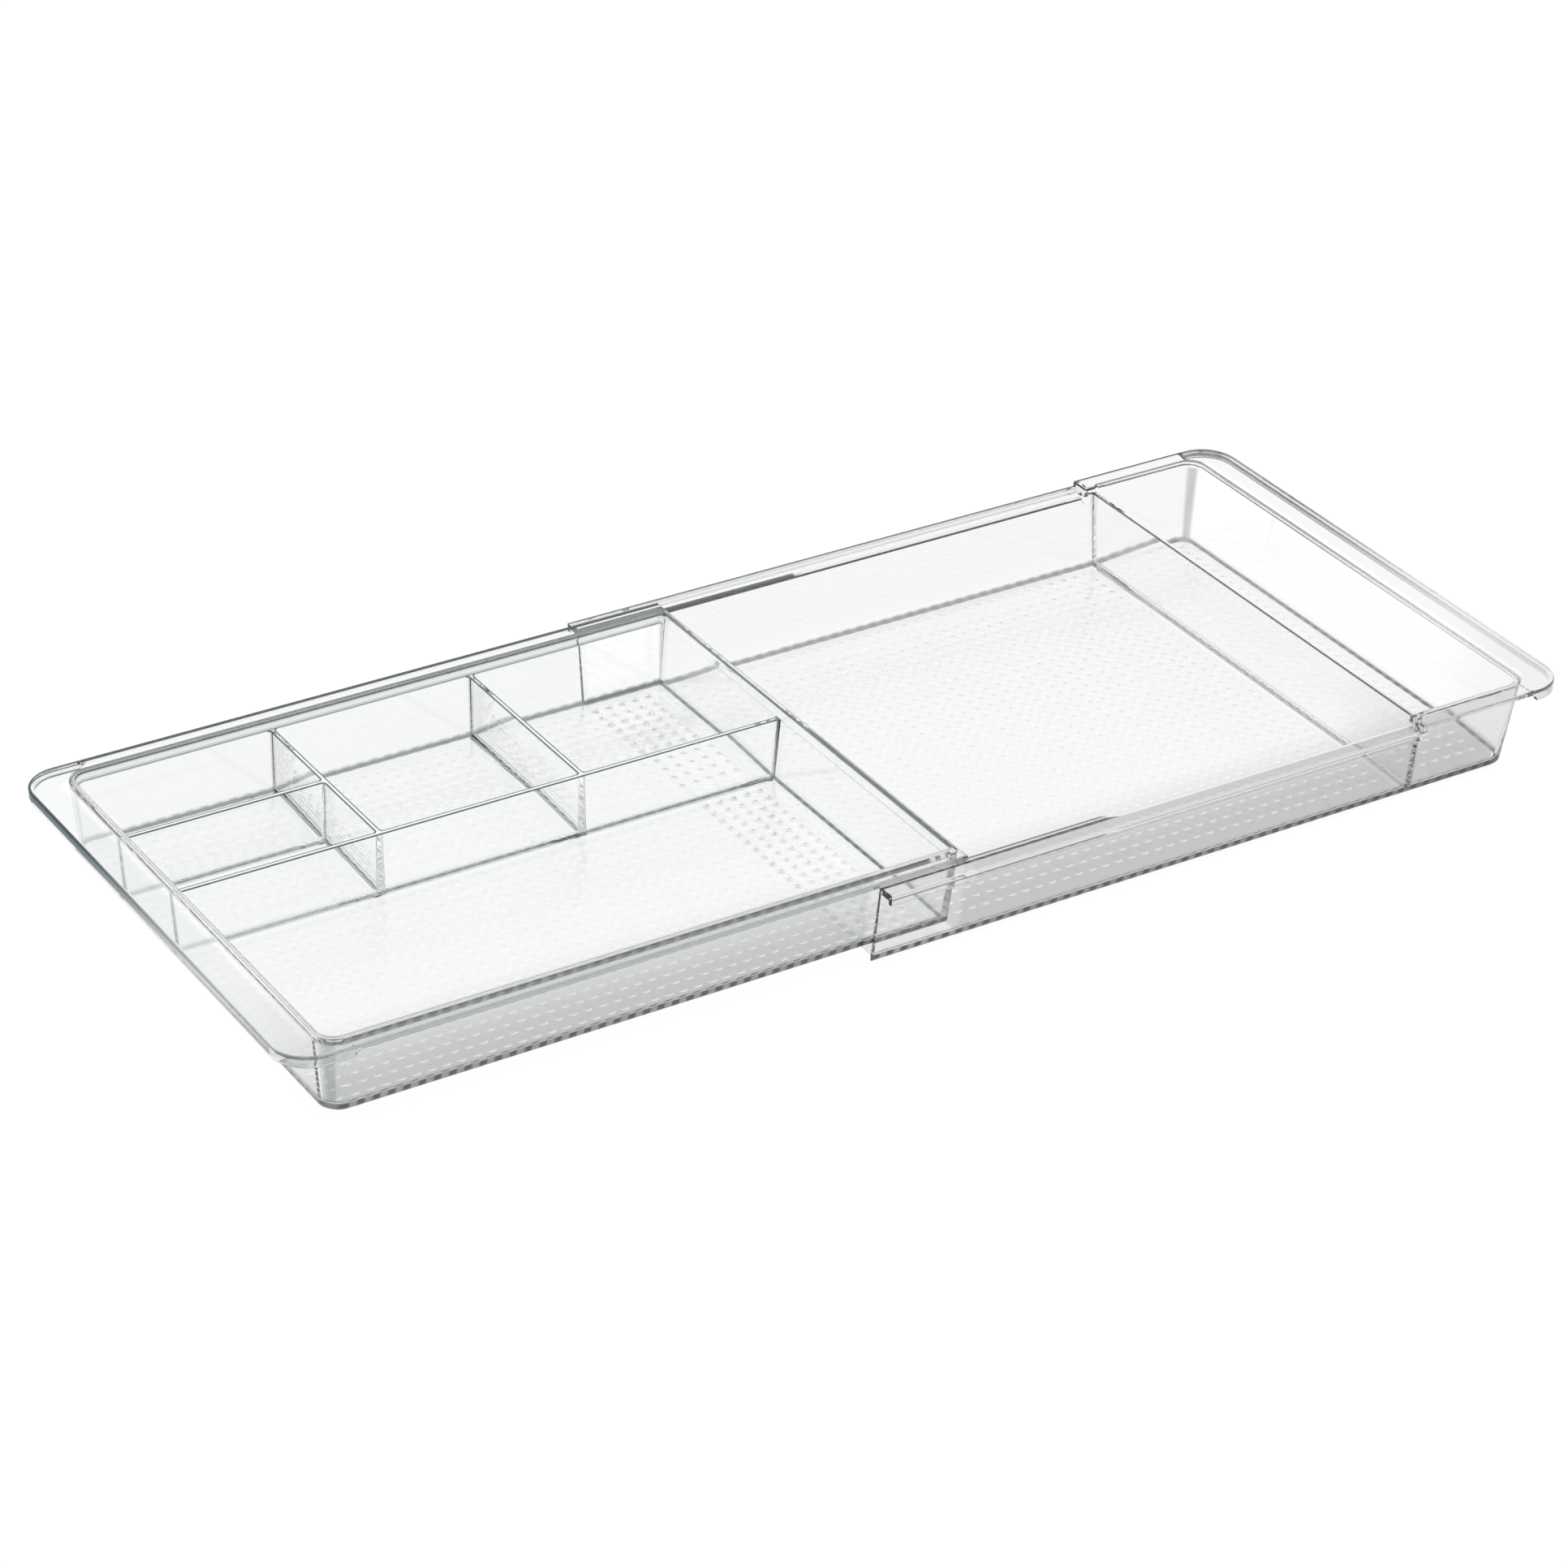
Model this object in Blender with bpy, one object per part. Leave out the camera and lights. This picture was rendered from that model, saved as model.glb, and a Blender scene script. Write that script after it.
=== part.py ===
"""Expanding drawer organizer insert: an inner tray that slides lengthwise in an outer tray.

Both trays are one-piece clear mouldings. X runs along the length (the outer tray is at +X),
Y from front to back, Z up. The origin is under the middle of the extended organizer.
"""

import math

import bpy

mm = 0.001

# Overall
length_extended = 483.0 * mm
rim_top = 32.1 * mm  # top of both rims
wall = 2.0 * mm
floor = 2.0 * mm
corner_steps = 6

# Outer tray
outer_half_width = 103.1 * mm  # to the rim's outer edge
outer_open_end = -32.3 * mm
outer_inner_half = 95.3 * mm  # inner wall face, at the top
outer_inner_end = 227.0 * mm  # inner face of the end wall, at the top
outer_draft = 0.117  # inward lean of a wall, per unit of height
rail_top = 30.0 * mm  # the inner tray's rim rides here
rail_thick = 2.6 * mm
rail_end = 179.0 * mm  # where the rim steps up to full height
rail_lip = 4.0 * mm
guide_end = 50.0 * mm  # the raised guide edge fades out from here
guide_fade = 11.5 * mm
rebate_width = 2.3 * mm
rebate_depth = 1.5 * mm
divider_x = 182.9 * mm
outer_lip_start = 227.7 * mm
outer_lip = 4.0 * mm
outer_side_rim = 1.6 * mm

# Inner tray
ride_gap = 0.3 * mm
inner_half_width = 97.6 * mm
inner_closed_end = 0.3 * mm  # outer face of its right end wall
inner_inner_half = 90.5 * mm
inner_inner_left = -225.8 * mm
inner_draft = 0.092
inner_bottom = 4.0 * mm
inner_rim_thick = rim_top - rail_top - ride_gap
inner_lip = 4.1 * mm
inner_lip_end = -219.1 * mm
divider_top = 28.3 * mm
divider_thick = 1.8 * mm  # at its top
divider_draft = 0.012
long_divider_y = 13.7 * mm
short_divider_y = 51.8 * mm
cross_divider_xs = (-152.4 * mm, -77.6 * mm)

# Rounding
rim_corner = 13.0 * mm
wall_corner = 6.0 * mm
cell_corner = 1.2 * mm
edge_round = 1.0 * mm
mouth_round = 1.6 * mm
lip_thick = 1.8 * mm
end_corner = 0.5 * mm  # nearly square corners at a tray's plain end
inner_end_corner = 1.5 * mm
small_corner = 2.0 * mm  # cell corners beside the inner tray's right end
least_radius = 0.1 * mm
bend_share = 0.3  # where the middle point of a rounding lies, as a share of it
corner_taper = 0.05  # how fast a cavity's corners tighten with depth
wall_taper = 0.4  # how fast the outer corners tighten as the walls lean in
overlap = 0.4 * mm  # how far joined shapes run into each other
clear = 30.0 * mm  # how far a cutter runs past what it cuts

left = -length_extended / 2
right = length_extended / 2


def clear_scene():
    for obj in list(bpy.data.objects):
        bpy.data.objects.remove(obj, do_unlink=True)


def rounded_rect(x0, x1, y0, y1, radii):
    """Outline, anticlockwise from the front left corner, with one radius for each corner."""
    corners = ((x0, y0, 180), (x1, y0, 270), (x1, y1, 0), (x0, y1, 90))
    points = []
    for (x, y, start), radius in zip(corners, radii):
        centre_x = x + radius if x == x0 else x - radius
        centre_y = y + radius if y == y0 else y - radius
        for step in range(corner_steps + 1):
            angle = math.radians(start + 90 * step / corner_steps)
            points.append((centre_x + radius * math.cos(angle), centre_y + radius * math.sin(angle)))
    return points


def loft(name, sections):
    """Closed solid through outlines of equal length, each with its height, bottom first."""
    count = len(sections[0][1])
    points = [(x, y, z) for z, outline in sections for x, y in outline]
    faces = [list(range(count))[::-1], [len(points) - count + i for i in range(count)]]
    for level in range(len(sections) - 1):
        for i in range(count):
            j = (i + 1) % count
            low, high = level * count, (level + 1) * count
            faces.append([low + i, low + j, high + j, high + i])
    mesh = bpy.data.meshes.new(name)
    mesh.from_pydata(points, [], faces)
    mesh.validate()
    obj = bpy.data.objects.new(name, mesh)
    bpy.context.scene.collection.objects.link(obj)
    return obj


def box(name, x0, x1, y0, y1, z0, z1):
    outline = [(x0, y0), (x1, y0), (x1, y1), (x0, y1)]
    return loft(name, [(z0, outline), (z1, outline)])


def combine(target, other, operation):
    """Adds a Boolean with the other shape, which becomes a hidden helper."""
    modifier = target.modifiers.new(other.name, "BOOLEAN")
    modifier.operation = operation
    modifier.object = other
    other.hide_render = True
    other.display_type = "WIRE"


def clear_plastic(name, colour):
    material = bpy.data.materials.new(name)
    material.use_nodes = True
    shader = material.node_tree.nodes["Principled BSDF"]
    shader.inputs["Base Color"].default_value = (*colour, 1)
    shader.inputs["Roughness"].default_value = 0.06
    shader.inputs["Metallic"].default_value = 0
    shader.inputs["IOR"].default_value = 1.5
    shader.inputs["Transmission Weight"].default_value = 0.9
    return material


def finish(obj, material):
    obj.data.materials.append(material)
    obj.data.shade_smooth()
    obj.data.set_sharp_from_angle(angle=math.radians(30))


def rim_block(name, x0, x1, half, z0, z1, radii):
    """Rim slab with its top outer edge rounded over."""
    def at(inset):
        shrunk = [max(radius - inset, least_radius) for radius in radii]
        return rounded_rect(x0 + inset, x1 - inset, inset - half, half - inset, shrunk)

    return loft(name, [(z0, at(0)), (z1 - edge_round, at(0)),
                       (z1 - bend_share * edge_round, at(bend_share * edge_round)), (z1, at(edge_round))])


def walled_body(name, x0, x1, half, z0, z1, lean, radii):
    """Outer form of the walls, wider at the top, with a rounded bottom edge."""
    def at(z, extra):
        inset = lean * (z1 - z) + extra
        shrunk = [max(radius - wall_taper * inset, end_corner) for radius in radii]
        return rounded_rect(x0 + inset, x1 - inset, inset - half, half - inset, shrunk)

    bend = bend_share * edge_round
    return loft(name, [(z0, at(z0, edge_round)),
                       (z0 + bend, at(z0 + bend, bend)),
                       (z0 + edge_round, at(z0 + edge_round, 0)), (z1, at(z1, 0))])


def cavity(name, x0, x1, y0, y1, z0, z1, leans, radii, flare=0):
    """Space inside walls. The four leans are for its left, right, front and back faces."""
    def at(z, grow):
        drop = z1 - z
        shrunk = [max(radius - corner_taper * drop + grow, 3 * least_radius) for radius in radii]
        return rounded_rect(x0 + leans[0] * drop - grow, x1 - leans[1] * drop + grow,
                            y0 + leans[2] * drop - grow, y1 - leans[3] * drop + grow, shrunk)

    sections = [(z0, at(z0, 0))]
    if flare:
        bend = bend_share * flare
        sections += [(z1 - flare, at(z1 - flare, 0)), (z1 - bend, at(z1 - bend, bend)),
                     (z1, at(z1, flare)), (z1 + clear, at(z1, flare))]
    else:
        sections += [(z1, at(z1, 0)), (z1 + overlap, at(z1, -overlap / 2))]
    return loft(name, sections)


def build_outer_tray(material):
    far_left = outer_open_end - clear
    end_radii = (end_corner, rim_corner, rim_corner, end_corner)
    wall_radii = (2 * end_corner, wall_corner + wall, wall_corner + wall, 2 * end_corner)

    tray = rim_block("outer_tray", far_left, right, outer_half_width, rail_top - rail_lip, rim_top, end_radii)
    end_hollow = loft("outer_end_hollow", [
        (height, rounded_rect(rail_end, right - lip_thick, lip_thick - outer_half_width,
                              outer_half_width - lip_thick, [rim_corner - lip_thick] * 4))
        for height in (rail_top - clear, rim_top - inner_rim_thick)])
    combine(tray, end_hollow, "DIFFERENCE")
    combine(tray, box("outer_end_lip_trim", rail_end, right + clear, -outer_half_width - clear,
                      outer_half_width + clear, rail_top - clear, rim_top - outer_lip), "DIFFERENCE")
    combine(tray, box("outer_rail_hollow", far_left - clear, rail_end - overlap,
                      lip_thick - outer_half_width, outer_half_width - lip_thick,
                      rail_top - clear, rail_top - rail_thick), "DIFFERENCE")
    combine(tray, box("outer_side_trim", rail_end + wall, outer_lip_start, -outer_half_width - clear,
                      outer_half_width + clear, rail_top - clear, rim_top - outer_side_rim), "DIFFERENCE")
    combine(tray, walled_body("outer_walls", far_left, outer_inner_end + wall, outer_inner_half + wall,
                              0, rim_top - overlap, outer_draft, wall_radii), "UNION")
    combine(tray, box("outer_rail_level", far_left - clear, rail_end, -outer_half_width - clear,
                      outer_half_width + clear, rail_top, rim_top + clear), "DIFFERENCE")

    half_divider = divider_thick / 2
    combine(tray, cavity("outer_main_space", far_left - clear, divider_x - half_divider,
                         -outer_inner_half, outer_inner_half, floor, rail_top,
                         (0, divider_draft, outer_draft, outer_draft),
                         (end_corner, cell_corner, cell_corner, end_corner), mouth_round / 2), "DIFFERENCE")
    combine(tray, cavity("outer_end_space", divider_x + half_divider, outer_inner_end,
                         -outer_inner_half, outer_inner_half, floor, rim_top,
                         (divider_draft, outer_draft, outer_draft, outer_draft),
                         (cell_corner, wall_corner, wall_corner, cell_corner), mouth_round), "DIFFERENCE")
    combine(tray, box("outer_divider_level", rail_end + wall, divider_x + 2 * wall,
                      -outer_inner_half, outer_inner_half, rail_top, rim_top + clear), "DIFFERENCE")
    for side in (-1, 1):
        combine(tray, guide_rebate("outer_rebate_" + ("front" if side < 0 else "back"), side), "DIFFERENCE")
    combine(tray, box("outer_open_end_trim", far_left - clear, outer_open_end, -outer_half_width - clear,
                      outer_half_width + clear, -clear, rim_top + clear), "DIFFERENCE")
    finish(tray, material)
    return tray


def guide_rebate(name, side):
    """Shallow step along a rail's inner edge, fading in with an S-curve where the guide ends."""
    inside = outer_inner_half - wall
    steps = 8
    curve = []
    for step in range(steps + 1):
        share = step / steps
        ease = share * share * (3 - 2 * share)
        reach = outer_inner_half - overlap + (rebate_width + overlap) * ease
        curve.append((guide_end + guide_fade * share, reach))
    outline = [(guide_end, inside)] + [(rail_end, inside), (rail_end, curve[-1][1])] + curve[::-1]
    outline = [(x, side * y) for x, y in outline]
    if side < 0:
        outline.reverse()
    return loft(name, [(rail_top - rebate_depth, outline), (rail_top + wall, outline)])


def build_inner_tray(material):
    far_right = inner_closed_end
    tray = rim_block("inner_tray", left, far_right, inner_half_width, rim_top - inner_lip, rim_top,
                     (rim_corner, end_corner, end_corner, rim_corner))
    rim_hollow = loft("inner_rim_hollow", [
        (height, rounded_rect(left + lip_thick, far_right + clear, lip_thick - inner_half_width,
                              inner_half_width - lip_thick,
                              (rim_corner - lip_thick, end_corner, end_corner, rim_corner - lip_thick)))
        for height in (rim_top - clear, rim_top - inner_rim_thick)])
    combine(tray, rim_hollow, "DIFFERENCE")
    combine(tray, box("inner_side_trim", inner_lip_end, far_right + clear, -inner_half_width - clear,
                      inner_half_width + clear, rim_top - clear, rim_top - inner_rim_thick), "DIFFERENCE")
    combine(tray, walled_body("inner_walls", inner_inner_left - wall, far_right, inner_inner_half + wall,
                              inner_bottom, rim_top - overlap, inner_draft,
                              (wall_corner + wall, inner_end_corner, inner_end_corner, wall_corner + wall)),
            "UNION")

    inside_right = far_right - wall
    lean = inner_draft
    top_drop = lean * (rim_top - divider_top)
    x_left, x_right, half = inner_inner_left + top_drop, inside_right - top_drop, inner_inner_half - top_drop
    combine(tray, cavity("inner_mouth", inner_inner_left, inside_right, -inner_inner_half, inner_inner_half,
                         divider_top, rim_top, (lean,) * 4,
                         (wall_corner, small_corner, small_corner, wall_corner),
                         mouth_round), "DIFFERENCE")

    level = inner_bottom + floor
    half_thick = divider_thick / 2
    first, second = cross_divider_xs
    slim = divider_draft
    wall_round = wall_corner - corner_taper * (rim_top - divider_top)
    small_round = small_corner - corner_taper * (rim_top - divider_top)
    cells = (
        ("inner_pencil_space", x_left, x_right, -half, long_divider_y - half_thick,
         (lean, lean, lean, slim), (wall_round, small_round, cell_corner, cell_corner)),
        ("inner_pin_space", x_left, first - half_thick, short_divider_y + half_thick, half,
         (lean, slim, slim, lean), (cell_corner, cell_corner, cell_corner, wall_round)),
        ("inner_clip_space", x_left, first - half_thick, long_divider_y + half_thick,
         short_divider_y - half_thick, (lean, slim, slim, slim), (cell_corner,) * 4),
        ("inner_middle_space", first + half_thick, second - half_thick, long_divider_y + half_thick, half,
         (slim, slim, slim, lean), (cell_corner,) * 4),
        ("inner_note_space", second + half_thick, x_right, long_divider_y + half_thick, half,
         (slim, lean, slim, lean), (cell_corner, cell_corner, small_round, cell_corner)),
    )
    for name, x0, x1, y0, y1, leans, radii in cells:
        combine(tray, cavity(name, x0, x1, y0, y1, level, divider_top, leans, radii), "DIFFERENCE")
    finish(tray, material)
    return tray


clear_scene()
build_outer_tray(clear_plastic("outer_clear_plastic", (0.93, 0.94, 0.94)))
build_inner_tray(clear_plastic("inner_clear_plastic", (0.90, 0.94, 0.94)))
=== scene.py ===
import math

import bmesh
import bpy
from mathutils import Matrix, Vector


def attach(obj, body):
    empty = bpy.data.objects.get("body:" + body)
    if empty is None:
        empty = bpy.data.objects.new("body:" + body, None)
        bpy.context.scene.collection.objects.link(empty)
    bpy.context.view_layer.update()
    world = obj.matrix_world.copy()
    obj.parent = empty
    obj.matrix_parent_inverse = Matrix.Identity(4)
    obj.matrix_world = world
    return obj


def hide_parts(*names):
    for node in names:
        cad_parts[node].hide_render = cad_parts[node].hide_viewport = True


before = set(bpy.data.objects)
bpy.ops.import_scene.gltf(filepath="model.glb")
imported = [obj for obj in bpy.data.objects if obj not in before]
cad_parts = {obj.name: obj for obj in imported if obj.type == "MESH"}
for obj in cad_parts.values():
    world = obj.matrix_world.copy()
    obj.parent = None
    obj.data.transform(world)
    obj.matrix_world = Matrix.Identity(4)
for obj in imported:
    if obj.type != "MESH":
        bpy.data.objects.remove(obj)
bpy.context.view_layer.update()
print("frame loaded:", ", ".join(sorted(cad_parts)))

mm = 0.001

moulding = {  # shared by both trays
    "wall": 2.0 * mm,
    "floor": 2.0 * mm,
    "lipThick": 1.8 * mm,
    "lipRound": 0.5 * mm,
    "divider": 1.8 * mm,
    "dividerDraft": 0.012,
    "dividerRound": 0.5 * mm,
    "floorFillet": 1.6 * mm,
    "bottomRound": 1.8 * mm,
    "wallCorner": 6.0 * mm,
    "cellCorner": 1.4 * mm,
    "sharpest": 0.6 * mm,
    "cornerTaper": 0.05,  # a corner's radius lost for each unit of depth
    "filletTaper": 0.5,
    "outerTaper": 0.4,
    "endCorner": 0.5 * mm,
    "lipFade": 3.0 * mm,  # radius of the curve where a deep lip runs out
    "clear": 30.0 * mm,  # how far a cutter runs past what it cuts
    "overlap": 0.4 * mm,  # how far joined shapes run into each other
}

cornerSteps = 10
roundSteps = 5
rebateSteps = 16
smallestRadius = 0.1 * mm
weldGap = 0.02 * mm
shortestEdge = 0.002 * mm
creaseAngle = 19  # degrees
normalWeight = 60


def outlineAt(x0, x1, y0, y1, radii):
    corners = ((x0, y0, 180), (x1, y0, 270), (x1, y1, 0), (x0, y1, 90))
    points = []
    for (x, y, start), radius in zip(corners, radii):
        radius = max(radius, smallestRadius)
        centreX = x + radius if x == x0 else x - radius
        centreY = y + radius if y == y0 else y - radius
        for step in range(cornerSteps + 1):
            angle = math.radians(start + 90 * step / cornerSteps)
            points.append((centreX + radius * math.cos(angle), centreY + radius * math.sin(angle)))
    return points


def edgeArc(radius):
    # (inset, rise) pairs from a flat face round to the side
    pairs = []
    for step in range(roundSteps + 1):
        angle = math.radians(90 * step / roundSteps)
        pairs.append((radius * (1 - math.sin(angle)), radius * (1 - math.cos(angle))))
    return pairs


def meshObject(name, points, faces):
    mesh = bpy.data.meshes.new(name)
    mesh.from_pydata(points, [], faces)
    obj = bpy.data.objects.new(name, mesh)
    bpy.context.scene.collection.objects.link(obj)
    return obj


dimples = {
    "pitch": 5.27 * mm,
    "radius": 2.15 * mm,
    "depth": 0.3 * mm,
    "rings": (0.45, 0.78),
    "sides": 12,
    "edgeGap": 0.35 * mm,
}


def dimplePanel(spans, level, phase):
    # every whole dimple cell that fits in the floor, as points and faces
    pitch, radius, depth = dimples["pitch"], dimples["radius"], dimples["depth"]
    sides = dimples["sides"]
    cells = []
    for low, high, offset in ((spans[0], spans[1], phase[0]), (spans[2], spans[3], phase[1])):
        first = math.ceil((low - offset) / pitch + 0.5)
        last = math.floor((high - offset) / pitch - 0.5)
        cells.append([offset + pitch * i for i in range(first, last + 1)])
    points, faces = [], []
    half = pitch / 2
    ball = (radius ** 2 + depth ** 2) / (2 * depth)
    for cx in cells[0]:
        for cy in cells[1]:
            base = len(points)
            points.append((cx, cy, level - depth))
            for share in (*dimples["rings"], 1.0):
                reach = radius * share
                drop = math.sqrt(ball ** 2 - reach ** 2) - (ball - depth)
                for side in range(sides):
                    turn = 2 * math.pi * side / sides
                    points.append((cx + reach * math.cos(turn), cy + reach * math.sin(turn), level - drop))
            rim = len(points) - sides
            for sx, sy in ((1, 1), (-1, 1), (-1, -1), (1, -1)):
                points.append((cx + sx * half, cy + sy * half, level))
            corner = rim + sides
            for side in range(sides):
                after = (side + 1) % sides
                faces.append((base, base + 1 + side, base + 1 + after))
                for ring in range(len(dimples["rings"])):
                    low, high = base + 1 + ring * sides, base + 1 + (ring + 1) * sides
                    faces.append((low + side, high + side, high + after, low + after))
                faces.append((rim + side, corner + side * 4 // sides, rim + after))
            for quarter in range(4):
                faces.append((corner + (quarter - 1) % 4, corner + quarter, rim + quarter * sides // 4))
    return points, faces


def faceOutward(bm):
    bmesh.ops.recalc_face_normals(bm, faces=bm.faces)
    if bm.calc_volume(signed=True) < 0:
        bmesh.ops.reverse_faces(bm, faces=bm.faces)


def loft(name, sections, panel=None):
    # closed form through outlines, lowest first; panel fills its lower face
    count = len(sections[0][1])
    points = [(x, y, z) for z, outline in sections for x, y in outline]
    faces = [[len(points) - count + i for i in range(count)]]
    if panel is None:
        faces.append(list(range(count))[::-1])
    for level in range(len(sections) - 1):
        for i in range(count):
            j = (i + 1) % count
            low, high = level * count, (level + 1) * count
            faces.append([low + i, low + j, high + j, high + i])
    obj = meshObject(name, points, faces)
    if panel is not None:
        bm = bmesh.new()
        bm.from_mesh(obj.data)
        bm.verts.ensure_lookup_table()
        rimEdges = [edge for edge in bm.edges if edge.is_boundary]
        panelVerts = [bm.verts.new(point) for point in panel[0]]
        panelFaces = [bm.faces.new([panelVerts[i] for i in face]) for face in panel[1]]
        bmesh.ops.remove_doubles(bm, verts=panelVerts, dist=weldGap)
        panelEdges = {edge for face in panelFaces for edge in face.edges if edge.is_boundary}
        openEdges = rimEdges + list(panelEdges)
        bmesh.ops.triangle_fill(bm, use_beauty=True, edges=openEdges, normal=(0, 0, -1))
        faceOutward(bm)
        bm.to_mesh(obj.data)
        bm.free()
    return obj


def slab(name, x0, x1, y0, y1, z0, z1):
    outline = [(x0, y0), (x1, y0), (x1, y1), (x0, y1)]
    return loft(name, [(z0, outline), (z1, outline)])


def sideProfile(name, profile, y0, y1):
    # an outline in X and Z, extruded from y0 to y1
    count = len(profile)
    points = [(x, y0, z) for x, z in profile] + [(x, y1, z) for x, z in profile]
    faces = [list(range(count)), [count + i for i in range(count)][::-1]]
    faces += [[i, i + count, (i + 1) % count + count, (i + 1) % count] for i in range(count)]
    obj = meshObject(name, points, faces)
    bm = bmesh.new()
    bm.from_mesh(obj.data)
    faceOutward(bm)
    bm.to_mesh(obj.data)
    bm.free()
    return obj


def rimForm(name, x0, x1, half, z0, z1, radii, topRound):
    def at(inset):
        return outlineAt(x0 + inset, x1 - inset, inset - half, half - inset, [r - inset for r in radii])

    lower = [(z0 + rise, at(inset)) for inset, rise in edgeArc(moulding["lipRound"])]
    upper = [(z1 - rise, at(inset)) for inset, rise in edgeArc(topRound)[::-1]]
    return loft(name, lower + upper)


def wallForm(name, x0, x1, half, z0, z1, lean, radii):
    def at(z, extra):
        inset = lean * (z1 - z) + extra
        tight = [r - moulding["outerTaper"] * inset for r in radii]
        return outlineAt(x0 + inset, x1 - inset, inset - half, half - inset, tight)

    lower = [(z0 + rise, at(z0 + rise, inset)) for inset, rise in edgeArc(moulding["bottomRound"])]
    return loft(name, lower + [(z1, at(z1, 0))])


def hollowForm(name, spans, z0, z1, leans, radii, flares, above, phase):
    # space inside walls, with a filleted dimpled floor
    # leans and flares are for left, right, front and back
    signs = (1, -1, 1, -1)
    taper = moulding["cornerTaper"]

    def at(z, inset, share):
        drop = z1 - z
        shift = [leans[i] * drop + inset - flares[i] * share for i in range(4)]
        x0, x1, y0, y1 = (spans[i] + signs[i] * shift[i] for i in range(4))
        tight = [max(r - taper * drop, moulding["sharpest"]) - inset * moulding["filletTaper"]
                 for r in radii]
        return outlineAt(x0, x1, y0, y1, tight)

    deepest = max(flares)
    sections = [(z0 + rise, at(z0 + rise, inset, 0)) for inset, rise in edgeArc(moulding["floorFillet"])]
    if deepest:
        for inset, rise in edgeArc(deepest)[::-1]:
            sections.append((z1 - inset, at(z1 - inset, 0, rise / deepest)))
        sections[-1] = (z1 + weldGap, sections[-1][1])
    else:
        sections.append((z1, at(z1, 0, 0)))
    # drawn in a little where the space ends inside a wider mouth
    drawnIn = moulding["overlap"] / 2 if above < moulding["clear"] else 0
    sections.append((z1 + above, at(z1, drawnIn, 1)))
    low = sections[0][1]
    gap = dimples["edgeGap"]
    xs, ys = [p[0] for p in low], [p[1] for p in low]
    inner = (min(xs) + gap, max(xs) - gap, min(ys) + gap, max(ys) - gap)
    return loft(name, sections, dimplePanel(inner, z0, phase))


def combine(target, other, operation="DIFFERENCE"):
    step = target.modifiers.new(other.name, "BOOLEAN")
    step.operation = operation
    step.solver = "MANIFOLD"
    step.object = other
    other.hide_render = True


def settle(tray):
    # apply the cuts, drop the helpers, then mark creases and weight the normals
    helpers = [step.object for step in tray.modifiers]
    cut = tray.evaluated_get(bpy.context.evaluated_depsgraph_get())
    shape = bpy.data.meshes.new_from_object(cut)
    tray.modifiers.clear()
    tray.data = shape
    for helper in helpers:
        bpy.data.objects.remove(helper, do_unlink=True)
    bm = bmesh.new()
    bm.from_mesh(shape)
    bmesh.ops.dissolve_degenerate(bm, dist=shortestEdge, edges=bm.edges)
    bmesh.ops.triangulate(bm, faces=bm.faces)
    loose = sum(1 for edge in bm.edges if not edge.is_manifold)
    bm.to_mesh(shape)
    bm.free()
    shape.shade_smooth()
    shape.set_sharp_from_angle(angle=math.radians(creaseAngle))
    weigh = tray.modifiers.new("weighted normals", "WEIGHTED_NORMAL")
    weigh.keep_sharp = True
    weigh.weight = normalWeight
    print(f"  {tray.name}: {len(shape.polygons)} faces, {loose} open edges")


def lipRunOut(name, x, direction, low, high, reach):
    # trims the lower part of a rim away from x onwards, leaving the deep lip a curved end
    fade, clear = moulding["lipFade"], moulding["clear"]
    steps = roundSteps * 2
    profile = []
    for step in range(steps + 1):
        angle = math.radians(90 * step / steps)
        profile.append((x + direction * fade * (1 - math.cos(angle)),
                        high - (high - low) * (1 - math.sin(angle))))
    profile += [(reach, high), (reach, low - clear), (x, low - clear)]
    wide = outerTray["halfWidth"] + clear
    return sideProfile(name, profile, -wide, wide)


outerTray = {
    "halfWidth": 103.1 * mm,  # to the rim's outer edge
    "openEnd": -32.3 * mm,
    "closedEnd": 241.5 * mm,
    "rimTop": 32.1 * mm,
    "innerHalf": 95.3 * mm,  # wall faces, at the top
    "innerEnd": 227.0 * mm,
    "draft": 0.117,
    "railTop": 30.0 * mm,
    "railThick": 2.6 * mm,
    "railLip": 4.0 * mm,
    "railEnd": 179.0 * mm,
    "guideEnd": 50.0 * mm,
    "guideFade": 11.5 * mm,
    "rebateWidth": 2.3 * mm,
    "rebateDepth": 1.5 * mm,
    "dividerX": 182.9 * mm,
    "lipStart": 227.7 * mm,
    "endLip": 4.0 * mm,
    "sideRim": 1.6 * mm,
    "rimCorner": 13.0 * mm,
    "topRound": 0.6 * mm,
    "mouthRound": 1.6 * mm,
    "railMouthRound": 0.8 * mm,
    "dimplePhase": (1.2 * mm, 1.9 * mm),
}


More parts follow.
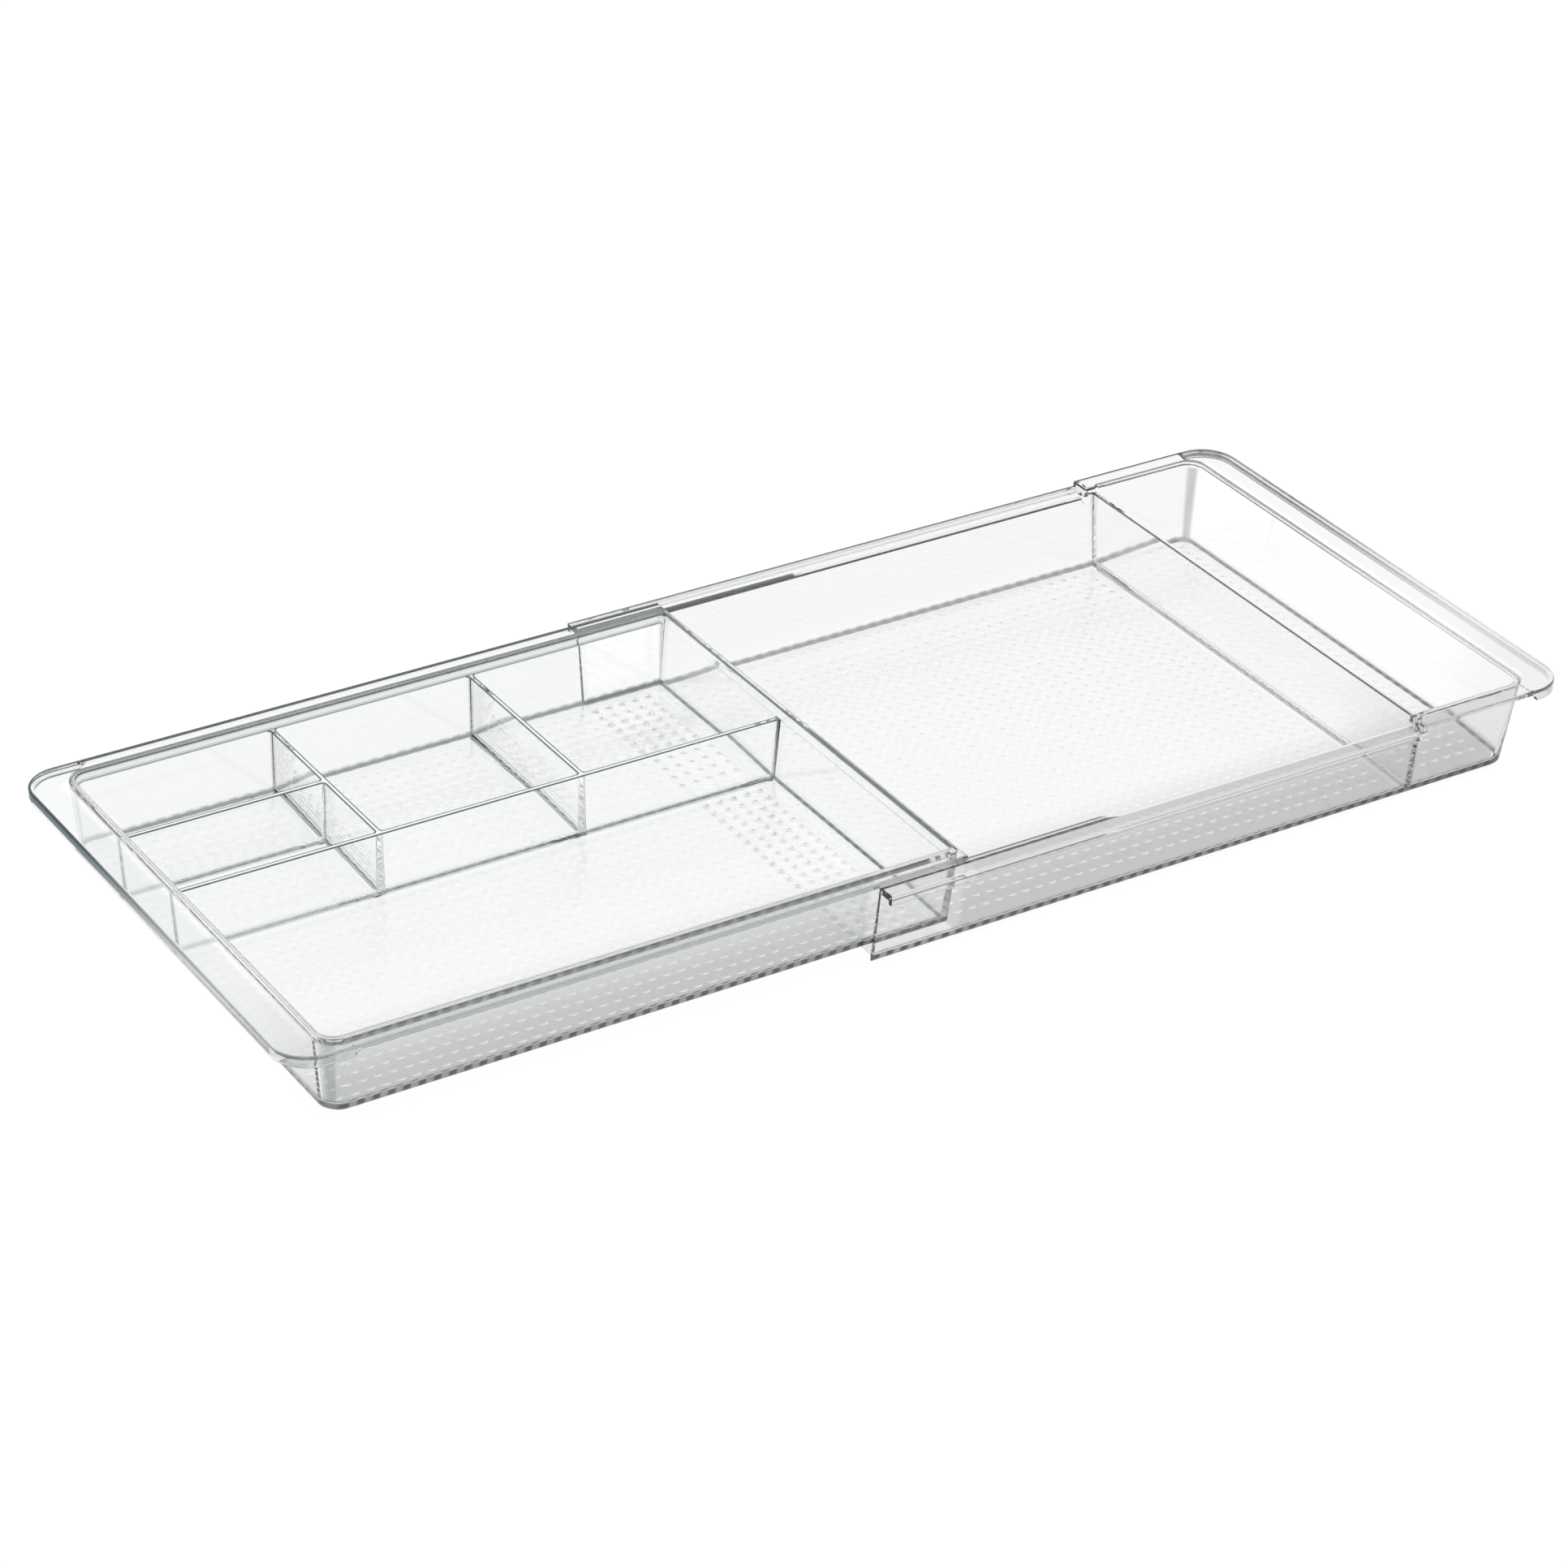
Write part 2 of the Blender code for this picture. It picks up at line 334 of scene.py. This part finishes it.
def makeOuterTray():
    t, m = outerTray, moulding
    clear, overlap = m["clear"], m["overlap"]
    farLeft = t["openEnd"] - clear
    square, corner = m["endCorner"], t["rimCorner"]
    wide = t["halfWidth"] + clear
    inside = t["halfWidth"] - m["lipThick"]
    tray = rimForm("outerTray", farLeft, t["closedEnd"], t["halfWidth"], t["railTop"] - t["railLip"],
                   t["rimTop"], (square, corner, corner, square), t["topRound"])
    endSpan = (t["railEnd"], t["closedEnd"] - m["lipThick"], -inside, inside)
    combine(tray, loft("endHollow", [(z, outlineAt(*endSpan, [corner - m["lipThick"]] * 4))
                                     for z in (0, t["rimTop"] - innerTray["rimThick"])]))
    combine(tray, slab("endLipTrim", t["railEnd"], t["closedEnd"] + clear, -wide, wide,
                       -clear, t["rimTop"] - t["endLip"]))
    combine(tray, slab("railHollow", farLeft - clear, t["railEnd"] - overlap, -inside, inside,
                       0, t["railTop"] - t["railThick"]))
    combine(tray, lipRunOut("sideTrim", t["lipStart"], -1, t["rimTop"] - t["endLip"],
                            t["rimTop"] - t["sideRim"], t["railEnd"] + m["wall"]))
    wallRadii = (2 * square, m["wallCorner"] + m["wall"], m["wallCorner"] + m["wall"], 2 * square)
    combine(tray, wallForm("outerWalls", farLeft, t["innerEnd"] + m["wall"], t["innerHalf"] + m["wall"],
                           0, t["rimTop"] - overlap, t["draft"], wallRadii), "UNION")
    combine(tray, slab("railLevel", farLeft - clear, t["railEnd"], -wide, wide,
                       t["railTop"], t["rimTop"] + clear))
    half = m["divider"] / 2
    lean, slim, tiny = t["draft"], m["dividerDraft"], m["cellCorner"]
    mouth = t["railMouthRound"]
    mainSpan = (farLeft - clear, t["dividerX"] - half, -t["innerHalf"], t["innerHalf"])
    combine(tray, hollowForm("mainSpace", mainSpan, m["floor"], t["railTop"], (0, slim, lean, lean),
                             (square, tiny, tiny, square), (0, m["dividerRound"], mouth, mouth),
                             clear, t["dimplePhase"]))
    mouth = t["mouthRound"]
    smallSpan = (t["dividerX"] + half, t["innerEnd"], -t["innerHalf"], t["innerHalf"])
    combine(tray, hollowForm("endSpace", smallSpan, m["floor"], t["rimTop"], (slim, lean, lean, lean),
                             (tiny, m["wallCorner"], m["wallCorner"], tiny),
                             (m["dividerRound"], mouth, mouth, mouth), clear, t["dimplePhase"]))
    combine(tray, slab("dividerLevel", t["railEnd"] + m["wall"], t["dividerX"] + 2 * m["wall"],
                       -t["innerHalf"], t["innerHalf"], t["railTop"], t["rimTop"] + clear))
    for side in (-1, 1):
        combine(tray, guideRebate("frontRebate" if side < 0 else "backRebate", side))
    combine(tray, slab("openEndTrim", farLeft - clear, t["openEnd"], -wide, wide,
                       -clear, t["rimTop"] + clear))
    settle(tray)
    return tray


def guideRebate(name, side):
    # shallow step along a rail's inner edge, fading in with an S-curve where the guide ends
    t, overlap = outerTray, moulding["overlap"]
    inside = t["innerHalf"] - moulding["wall"]
    curve = []
    for step in range(rebateSteps + 1):
        share = step / rebateSteps
        ease = share * share * (3 - 2 * share)
        curve.append((t["guideEnd"] + t["guideFade"] * share,
                      t["innerHalf"] - overlap + (t["rebateWidth"] + overlap) * ease))
    outline = [(t["guideEnd"], inside), (t["railEnd"], inside), (t["railEnd"], curve[-1][1])]
    outline += curve[::-1]
    outline = [(x, side * y) for x, y in outline]
    if side < 0:
        outline.reverse()
    return loft(name, [(t["railTop"] - t["rebateDepth"], outline),
                       (t["railTop"] + moulding["wall"], outline)])


innerTray = {
    "halfWidth": 97.6 * mm,
    "leftEnd": -241.5 * mm,
    "closedEnd": 0.3 * mm,
    "rimTop": 32.1 * mm,
    "innerHalf": 90.5 * mm,
    "innerLeft": -225.8 * mm,
    "draft": 0.092,
    "bottom": 4.0 * mm,
    "rimThick": 1.8 * mm,
    "endLip": 4.1 * mm,
    "lipEnd": -219.1 * mm,
    "dividerTop": 28.3 * mm,
    "longDividerY": 13.7 * mm,
    "shortDividerY": 51.8 * mm,
    "crossDividers": (-152.4 * mm, -77.6 * mm),
    "rimCorner": 13.0 * mm,
    "rightCorner": 2.0 * mm,
    "topRound": 0.5 * mm,
    "mouthRound": 1.6 * mm,
    "endMouth": 0.3,  # share of the mouth's rounding on the thin end wall
    "dimplePhase": (-8.0 * mm, 1.2 * mm),
}


def makeInnerTray():
    t, m = innerTray, moulding
    clear, overlap = m["clear"], m["overlap"]
    square, corner = m["endCorner"], t["rimCorner"]
    wide = t["halfWidth"] + clear
    inside = t["halfWidth"] - m["lipThick"]
    tray = rimForm("innerTray", t["leftEnd"], t["closedEnd"], t["halfWidth"], t["rimTop"] - t["endLip"],
                   t["rimTop"], (corner, square, square, corner), t["topRound"])
    bend = corner - m["lipThick"]
    combine(tray, loft("rimHollow", [
        (z, outlineAt(t["leftEnd"] + m["lipThick"], t["closedEnd"] + clear, -inside, inside,
                      (bend, square, square, bend))) for z in (0, t["rimTop"] - t["rimThick"])]))
    combine(tray, lipRunOut("sideTrimInner", t["lipEnd"], 1, t["rimTop"] - t["endLip"],
                            t["rimTop"] - t["rimThick"], t["closedEnd"] + clear))
    outside = m["wallCorner"] + m["wall"]
    combine(tray, wallForm("innerWalls", t["innerLeft"] - m["wall"], t["closedEnd"],
                           t["innerHalf"] + m["wall"], t["bottom"], t["rimTop"] - overlap, t["draft"],
                           (outside, 3 * square, 3 * square, outside)), "UNION")
    right = t["closedEnd"] - m["wall"]
    lean, slim, tiny = t["draft"], m["dividerDraft"], m["cellCorner"]
    top = t["dividerTop"]
    big, small, taper = m["wallCorner"], t["rightCorner"], m["cornerTaper"]
    mouth = t["mouthRound"]

    def mouthAt(z, grow):
        inset = lean * (t["rimTop"] - z) - grow
        return outlineAt(t["innerLeft"] + inset, right - inset - grow * (1 - t["endMouth"]),
                         inset - t["innerHalf"], t["innerHalf"] - inset,
                         [r - taper * (t["rimTop"] - z) + grow for r in (big, small, small, big)])

    sections = [(top, mouthAt(top, 0))]
    for inset, rise in edgeArc(mouth)[::-1]:
        sections.append((t["rimTop"] - inset, mouthAt(t["rimTop"] - inset, rise)))
    sections.append((t["rimTop"] + clear, mouthAt(t["rimTop"], mouth)))
    combine(tray, loft("innerMouth", sections))

    shrink = lean * (t["rimTop"] - top)
    x0, x1, y1 = t["innerLeft"] + shrink, right - shrink, t["innerHalf"] - shrink
    half, level, rounded = m["divider"] / 2, t["bottom"] + m["floor"], m["dividerRound"]
    first, second = t["crossDividers"]
    longY, shortY = t["longDividerY"], t["shortDividerY"]
    big, small = (r - taper * (t["rimTop"] - top) for r in (big, small))
    # kinds: w is a leaning wall and d a divider, for left, right, front and back
    cells = (
        ("pencilSpace", (x0, x1, -y1, longY - half), "wwwd", (big, small, tiny, tiny)),
        ("pinSpace", (x0, first - half, shortY + half, y1), "wddw", (tiny, tiny, tiny, big)),
        ("clipSpace", (x0, first - half, longY + half, shortY - half), "wddd", (tiny,) * 4),
        ("middleSpace", (first + half, second - half, longY + half, y1), "dddw", (tiny,) * 4),
        ("noteSpace", (second + half, x1, longY + half, y1), "dwdw", (tiny, tiny, small, tiny)),
    )
    for name, spans, kinds, radii in cells:
        leans = [lean if kind == "w" else slim for kind in kinds]
        flares = [0 if kind == "w" else rounded for kind in kinds]
        combine(tray, hollowForm(name, spans, level, top, leans, radii, flares, overlap, t["dimplePhase"]))
    settle(tray)
    return tray


print("building the trays")
outer = makeOuterTray()
inner = makeInnerTray()


class Signal:
    # a socket that can stand in a sum, or just a tree to add nodes to
    def __init__(self, tree, socket=None):
        self.tree = tree
        self.socket = socket

    def add(self, kind, settings=None, sockets=None, output=0):
        node = self.tree.nodes.new(kind)
        for name, value in (settings or {}).items():
            if name == "stops":
                ramp = node.color_ramp
                while len(ramp.elements) < len(value):
                    ramp.elements.new(0.5)
                for element, (place, shade) in zip(ramp.elements, value):
                    element.position = place
                    element.color = (shade, shade, shade, 1)
            else:
                setattr(node, name, value)
        for name, value in (sockets or {}).items():
            if isinstance(value, Signal):
                self.tree.links.new(value.socket, node.inputs[name])
            else:
                node.inputs[name].default_value = value
        return Signal(self.tree, node.outputs[output])

    def maths(self, operation, first, second=0.0):
        return self.add("ShaderNodeMath", {"operation": operation}, {0: first, 1: second})

    def __add__(self, other):
        return self.maths("ADD", self, other)

    def __sub__(self, other):
        return self.maths("SUBTRACT", self, other)

    def __rsub__(self, other):
        return self.maths("SUBTRACT", other, self)

    def __mul__(self, other):
        return self.maths("MULTIPLY", self, other)

    __radd__ = __add__
    __rmul__ = __mul__

    def root(self):
        return self.maths("SQRT", self)

    def size(self):
        return self.maths("ABSOLUTE", self)

    def rising(self, low, high):
        # smooth step from 0 at low to 1 at high
        return self.add("ShaderNodeMapRange", {"interpolation_type": "SMOOTHSTEP"},
                        {"Value": self, "From Min": low, "From Max": high})


outerPlastic = {
    "wallTint": (0.90, 0.905, 0.905, 1),
    "dividerTint": (0.992, 0.994, 0.995, 1),
    "floorTint": (0.895, 0.90, 0.905, 1),
    "frontShadeTint": (0.57, 0.575, 0.58, 1),  # painted shade on the front wall and the floor behind it
    "edgeShadeTint": (0.42, 0.435, 0.44, 1),  # painted shade: the roundings are tinted darker, standing in for the dark outlines they show
    "mouthShadeTint": (0.72, 0.73, 0.735, 1),
    "rimShadeTint": (0.09, 0.10, 0.105, 1),
    "footShadeTint": (0.10, 0.105, 0.11, 1),
    "floorHeight": 2.6 * mm,
    "dividerTop": outerTray["railTop"],
    "front": (-82.0 * mm, -42.0 * mm),
    "overlap": (-33.0 * mm, 0.0),  # painted lighter where the two floors lie one over the other, to offset the shade of the double floor
    "rimFrom": outerTray["closedEnd"] - outerTray["rimCorner"],
    "rimSide": 1,
    "rimHalf": outerTray["halfWidth"] - outerTray["rimCorner"],
    "rimCorner": outerTray["rimCorner"],
    "rimLow": 28.1 * mm,
    "rimInset": 0.6 * mm,
    "mouthFrom": 28.8 * mm,
    "wallFoot": 1.6 * mm,
    "bottom": 0.0,
    "endFace": 1.0,  # far beyond the tray, as it has no thin end wall
    "floorEnd": outerTray["openEnd"],  # the cut end of the floor, painted as a highlight where it catches the light
    "roughness": 0.004,
    "haze": 0.012,
    "refraction": 1.5,
    "ripple": 0.02 * mm,
    # strength of the painted shade and highlights, as a metallic share, on each part
    "edgeDepth": 0.12,
    "floorEdgeDepth": 0.2,
    "cornerDepth": 0.6,
    "bottomDepth": 0.75,
    "topDepth": 0.8,
    "rimDepth": 0.9,
    "rimFrontDepth": 0.25,
    "glint": 0.5,
}

innerPlastic = dict(
    outerPlastic,
    wallTint=(0.90, 0.91, 0.91, 1),
    floorTint=(0.89, 0.90, 0.905, 1),
    edgeShadeTint=(0.39, 0.425, 0.43, 1),
    rimShadeTint=(0.05, 0.085, 0.09, 1),
    floorHeight=6.6 * mm,
    dividerTop=innerTray["dividerTop"],
    rimFrom=innerTray["leftEnd"] + innerTray["rimCorner"],
    rimSide=-1,
    rimHalf=innerTray["halfWidth"] - innerTray["rimCorner"],
    rimLow=29.5 * mm,
    rimInset=1.1 * mm,
    mouthFrom=29.0 * mm,
    wallFoot=2.6 * mm,
    bottom=innerTray["bottom"],
    endFace=-2.2 * mm,
    floorEnd=innerTray["leftEnd"],
)

plasticZones = {  # from and to; slopes are 0 on an upright face and 1 on a level one
    "floorFade": (0.0, 1.5 * mm),
    "floorSlope": (0.84, 0.89),
    "topSlope": (0.97, 0.995),
    "roundSlope": (0.2, 0.4),
    "lowSlope": (0.1, 0.3),
    "dentSlope": (0.85, 0.92),
    "flatSlope": (0.9, 0.97),
    "corner": (0.36, 0.47),
    "dentSide": (0.03, 0.15),
    "upright": (0.9, 0.97),
    "belowDividerTop": (-0.7 * mm, -0.5 * mm),
    "overDividerTop": (0.1 * mm, 0.3 * mm),
    "endTop": (30.0 * mm, 30.5 * mm),
    "lowest": (1.1 * mm, 1.8 * mm),
    "footTop": (2.8 * mm, 3.4 * mm),
    "footFade": (0.0, 0.5 * mm),
    "thinFade": (0.0, 0.3 * mm),
    "rimFade": (0.0, 0.35 * mm),
    "outerWall": (1.5 * mm, 3.0 * mm),
    "depth": (-80.0 * mm, 60.0 * mm),  # front to back
    "overlapStart": (-2.0 * mm, 2.0 * mm),
    "overlapStop": (-1.0 * mm, 1.0 * mm),
    "floorEnd": (0.3 * mm, 0.8 * mm),
    "dash": (-0.7, 0.5),
    "dashLeast": 0.5,
    "dashFade": 0.6,  # how much paler the dashes are at the back
    "overlapPaler": 0.6,
    "wallPaler": 0.8,
    "cloudScale": 60.0,
    "cloudRoughness": 0.6,
    "waveScale": 22.0,
    "mottle": 0.12,
    "mottleLeast": 0.03,
    "mottleTint": (0.9, 0.92, 0.92, 1),
    "litTint": (1, 1, 1, 1),
    "rippleStrength": 0.35,
}


def clearPlastic(name, look):
    material = bpy.data.materials.new(name)
    material.use_nodes = True
    tree = material.node_tree
    shader = tree.nodes["Principled BSDF"]
    start = Signal(tree)
    zone = plasticZones

    def blend(share, first, second, kind="MIX"):
        return start.add("ShaderNodeMix", {"data_type": "RGBA", "blend_type": kind},
                         {0: share, 6: first, 7: second}, output=2)

    def larger(first, second):
        return start.maths("MAXIMUM", first, second)

    def past(signal, zoneName, base=0.0):
        # 0 before the zone, 1 after it
        first, last = zone[zoneName]
        return signal.rising(base + first, base + last)

    def separate(vector):
        return (start.add("ShaderNodeSeparateXYZ", {}, {0: vector}, output=axis) for axis in "XYZ")

    place = start.add("ShaderNodeTexCoord", output="Object")
    x, y, height = separate(place)
    aboveFloor = past(height, "floorFade", look["floorHeight"])
    floorLevel = 1 - aboveFloor
    across, along, upward = separate(start.add("ShaderNodeNewGeometry", output="Normal"))
    slope = upward.size()
    level = past(slope, "floorSlope") * floorLevel + past(slope, "topSlope") * aboveFloor
    rounding = past(slope, "roundSlope") * (1 - level)  # neither a wall nor a level face
    # painted shade on the roundings and on the upright corners
    corner = past((across * along).size(), "corner") * look["cornerDepth"]
    edge = larger(rounding, corner)
    # painted dark lines on the thin roundings on top of the dividers and of the inner end wall
    dividerTop = past(height, "belowDividerTop", look["dividerTop"])
    dividerTop = dividerTop * (1 - past(height, "overDividerTop", look["dividerTop"]))
    endTop = past(x, "thinFade", look["endFace"]) * past(height, "endTop")
    thin = rounding * larger(dividerTop, endTop)
    # painted shade on the rounding under the walls, broken into strokes at the dimple pitch
    lowest = 1 - past(height, "lowest", look["bottom"])
    broken = start.maths("SINE", (x + y) * (2 * math.pi / dimples["pitch"]))
    lowRound = lowest * past(slope, "lowSlope")
    # painted highlight: the near side of each dimple is lit white, clear of the floor's tint
    crescent = past(along, "dentSide") * past(slope, "dentSlope") * floorLevel
    # how far out in the rim's outline, corners included
    outX = larger((x - look["rimFrom"]) * look["rimSide"], 0.0)
    outY = larger(y.size() - look["rimHalf"], 0.0)
    out = (outX * outX + outY * outY).root()
    rim = past(out, "rimFade", look["rimCorner"] - look["rimInset"])
    rim = rim * past(height, "thinFade", look["rimLow"])
    # painted shade on the rim's outline, full at the back and weaker at the front
    share = look["rimFrontDepth"]
    rimShade = rim * (past(y, "depth") * (1 - share) + share)
    outerWall = past(out, "outerWall")
    foot = past(out, "footFade", look["wallFoot"]) * (1 - past(height, "footTop", look["bottom"]))
    # painted shade: short dark strokes along the bottom edges, paler towards the back
    paler = 1 - zone["dashFade"] * past(y, "depth")
    stroke = past(broken, "dash") * (1 - zone["dashLeast"]) + zone["dashLeast"]
    dashes = larger(lowRound, foot) * (1 - past(slope, "flatSlope")) * stroke * paler
    cloud = start.add("ShaderNodeTexNoise", {"noise_dimensions": "3D"},
                      {"Vector": place, "Scale": zone["cloudScale"], "Detail": 4.0,
                       "Roughness": zone["cloudRoughness"]}, output="Fac")
    wave = start.add("ShaderNodeTexNoise", {"noise_dimensions": "3D"},
                     {"Vector": place, "Scale": zone["waveScale"], "Detail": 1.0}, output="Fac")
    # painted shade: the floor and the front wall get darker towards the front
    front = 1 - y.rising(*look["front"])
    first, last = look["overlap"]
    doubled = past(x, "overlapStart", first) * (1 - past(x, "overlapStop", last))
    floorEnd = past(across.size(), "upright") * floorLevel
    floorEnd = floorEnd * (1 - past(x, "floorEnd", look["floorEnd"]))
    # colours, each laid over the one before
    walls = blend(outerWall * (1 - doubled), look["dividerTint"], look["wallTint"])
    tint = blend(larger(aboveFloor, doubled * zone["overlapPaler"]), look["floorTint"], walls)
    frontShare = front * (1 - zone["wallPaler"] * aboveFloor) * (1 - zone["overlapPaler"] * doubled)
    shaded = blend(frontShare, tint, look["frontShadeTint"])
    # painted highlights on the near sides of the dimples and on the floor's cut end
    lit = blend(larger(crescent, floorEnd), shaded, zone["litTint"])
    patches = (cloud - 0.5) * zone["mottle"] * floorLevel + zone["mottleLeast"]
    mottled = blend(patches, lit, zone["mottleTint"], "MULTIPLY")
    # painted shade on the roundings, lighter near the mouth
    edgeShadeTint = blend(past(height, "thinFade", look["mouthFrom"]), look["edgeShadeTint"], look["mouthShadeTint"])
    footed = blend(dashes, blend(edge, mottled, edgeShadeTint), look["footShadeTint"])
    # painted dark outlines on the rim and on the divider and end wall tops
    rimmed = blend(larger(rimShade, thin), footed, look["rimShadeTint"])
    # how far each part stops letting light through, as a metallic share: painted shade on the roundings,
    # rims and bottom edges, painted highlights on the dimples and the floor's cut end
    roundDepth = floorLevel * (look["floorEdgeDepth"] - look["edgeDepth"]) + look["edgeDepth"]
    thinner = larger(thin * look["topDepth"], dashes * look["bottomDepth"])
    pale = larger(crescent * front * look["glint"], floorEnd)
    shadeAndGlint = larger(larger(edge * roundDepth, pale), larger(thinner, rimShade * look["rimDepth"]))
    ripple = start.add("ShaderNodeBump", {}, {"Strength": zone["rippleStrength"],
                                              "Distance": look["ripple"], "Height": wave})
    tree.links.new(rimmed.socket, shader.inputs["Base Color"])
    tree.links.new(shadeAndGlint.socket, shader.inputs["Metallic"])
    tree.links.new((cloud * look["haze"] + look["roughness"]).socket, shader.inputs["Roughness"])
    tree.links.new(ripple.socket, shader.inputs["Normal"])
    shader.inputs["IOR"].default_value = look["refraction"]
    shader.inputs["Transmission Weight"].default_value = 1.0
    return material


outer.data.materials.clear()
outer.data.materials.append(clearPlastic("outerClearPlastic", outerPlastic))
inner.data.materials.clear()
inner.data.materials.append(clearPlastic("innerClearPlastic", innerPlastic))
for tray, node, body, slotName in ((outer, "outer_tray", "outer", "outer_clear_plastic"),
                                   (inner, "inner_tray", "inner", "inner_clear_plastic")):
    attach(tray, body)
    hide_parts(node)
print("plastic done")

studio = {
    "floorSize": 8.0,
    "floorDrop": 0.3 * mm,
    "floorShade": (0.12, 0.12, 0.12, 1),
    "floorGlow": 0.9,  # keeps the ground as bright as the sky
    "floorRoughness": 0.9,
    "skyStops": ((0.0, 0.85), (0.15, 0.95), (0.45, 1.0), (0.75, 1.3), (1.0, 1.4)),  # by sine of elevation
    "skyStrength": 1.0,
    "lightPasses": 24,  # the light goes through many clear faces
}

view = {  # angles in degrees
    "azimuth": 32.47,
    "elevation": 30.40,
    "roll": 1.39,
    "aim": (9.31 * mm, 27.28 * mm, -7.61 * mm),
    "distance": 1.7329,
    "lens": 116.72,
    "nearest": 0.05,
}


def setStudio():
    size = studio["floorSize"] / 2
    low = -studio["floorDrop"]
    corners = [(-size, -size, low), (size, -size, low), (size, size, low), (-size, size, low)]
    ground = meshObject("studioFloor", corners, [(0, 1, 2, 3)])
    paint = bpy.data.materials.new("palePaper")
    paint.use_nodes = True
    shader = paint.node_tree.nodes["Principled BSDF"]
    shader.inputs["Base Color"].default_value = studio["floorShade"]
    shader.inputs["Roughness"].default_value = studio["floorRoughness"]
    shader.inputs["Specular IOR Level"].default_value = 0.0
    shader.inputs["Emission Color"].default_value = (1, 1, 1, 1)
    shader.inputs["Emission Strength"].default_value = studio["floorGlow"]
    ground.data.materials.append(paint)
    world = bpy.data.worlds.new("softStudio")
    bpy.context.scene.world = world
    world.use_nodes = True
    tree = world.node_tree
    start = Signal(tree)
    direction = start.add("ShaderNodeTexCoord", output="Generated")
    rise = start.add("ShaderNodeSeparateXYZ", {}, {0: direction}, output="Z")
    glow = start.add("ShaderNodeValToRGB", {"stops": studio["skyStops"]}, {0: rise})
    background = tree.nodes["Background"]
    tree.links.new(glow.socket, background.inputs["Color"])
    background.inputs["Strength"].default_value = studio["skyStrength"]


def setCamera():
    turn, tilt, roll = (math.radians(view[key]) for key in ("azimuth", "elevation", "roll"))
    ahead = Vector((math.sin(turn) * math.cos(tilt), math.cos(turn) * math.cos(tilt), -math.sin(tilt)))
    side = ahead.cross(Vector((0, 0, 1))).normalized()
    up = side.cross(ahead)
    side, up = side * math.cos(roll) + up * math.sin(roll), up * math.cos(roll) - side * math.sin(roll)
    place = Vector(view["aim"]) - ahead * view["distance"]
    camera = bpy.data.objects.new("camera", bpy.data.cameras.new("camera"))
    bpy.context.scene.collection.objects.link(camera)
    camera.data.lens = view["lens"]
    camera.data.clip_start = view["nearest"]
    camera.matrix_world = Matrix((
        (side.x, up.x, -ahead.x, place.x),
        (side.y, up.y, -ahead.y, place.y),
        (side.z, up.z, -ahead.z, place.z),
        (0, 0, 0, 1)))
    bpy.context.scene.camera = camera


setStudio()
setCamera()
paths = bpy.context.scene.cycles
paths.max_bounces = paths.glossy_bounces = paths.transmission_bounces = studio["lightPasses"]
paths.blur_glossy = 0  # reflections stay crisp
bpy.context.scene.view_settings.view_transform = "Standard"
print("studio ready")
